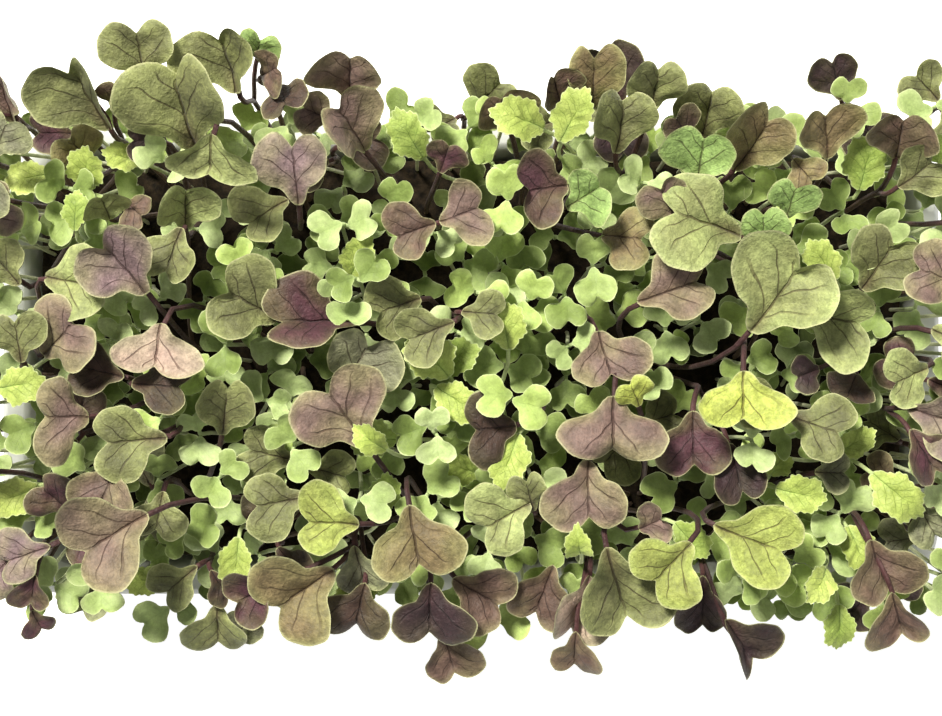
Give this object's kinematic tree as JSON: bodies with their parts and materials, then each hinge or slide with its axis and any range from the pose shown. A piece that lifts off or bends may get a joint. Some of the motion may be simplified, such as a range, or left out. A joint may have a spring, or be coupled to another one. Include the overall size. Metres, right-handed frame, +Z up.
{
  "type": "microgreens tray",
  "caption": "Shallow white growing tray filled with growing medium and densely sown with purple and olive radish seedlings above small green brassica seedlings.",
  "frame": {"origin": "centre of the tray's flat underside, where it rests", "axes": "+X along the tray's length, +Y across its width towards the picture's top edge, +Z up"},
  "size_m": [0.265, 0.1584, 0.1158],
  "materials": {
    "tray_plastic": "smooth white plastic, satin",
    "growing_medium": "moist dark peat, crumbly and matte",
    "radish_plants": "soft matte leaf, mauve, bronze and olive, on maroon stems",
    "brassica_plants": "soft matte green leaf on pale green stems"
  },
  "bodies": {
    "root": {"brassica_clump_01": "brassica_plants", "brassica_clump_02": "brassica_plants", "brassica_clump_03": "brassica_plants", "brassica_clump_04": "brassica_plants", "brassica_clump_05": "brassica_plants", "brassica_clump_06": "brassica_plants", "brassica_clump_07": "brassica_plants", "brassica_clump_08": "brassica_plants", "brassica_clump_09": "brassica_plants", "brassica_clump_10": "brassica_plants", "brassica_clump_11": "brassica_plants", "brassica_clump_12": "brassica_plants", "brassica_clump_13": "brassica_plants", "brassica_clump_14": "brassica_plants", "brassica_clump_15": "brassica_plants", "brassica_clump_16": "brassica_plants", "brassica_clump_17": "brassica_plants", "brassica_clump_18": "brassica_plants", "brassica_clump_19": "brassica_plants", "brassica_clump_20": "brassica_plants", "brassica_clump_21": "brassica_plants", "brassica_clump_22": "brassica_plants", "growing_medium": "growing_medium", "radish_clump_01": "radish_plants", "radish_clump_02": "radish_plants", "radish_clump_03": "radish_plants", "radish_clump_04": "radish_plants", "radish_clump_05": "radish_plants", "radish_clump_06": "radish_plants", "radish_clump_07": "radish_plants", "radish_clump_08": "radish_plants", "radish_clump_09": "radish_plants", "radish_clump_10": "radish_plants", "radish_clump_11": "radish_plants", "radish_clump_12": "radish_plants", "radish_clump_13": "radish_plants", "radish_clump_14": "radish_plants", "radish_clump_15": "radish_plants", "radish_clump_16": "radish_plants", "radish_clump_17": "radish_plants", "radish_clump_18": "radish_plants", "radish_clump_19": "radish_plants", "radish_clump_20": "radish_plants", "radish_clump_21": "radish_plants", "radish_clump_22": "radish_plants", "radish_clump_23": "radish_plants", "radish_clump_24": "radish_plants", "tray": "tray_plastic"}
  },
  "joints": []
}
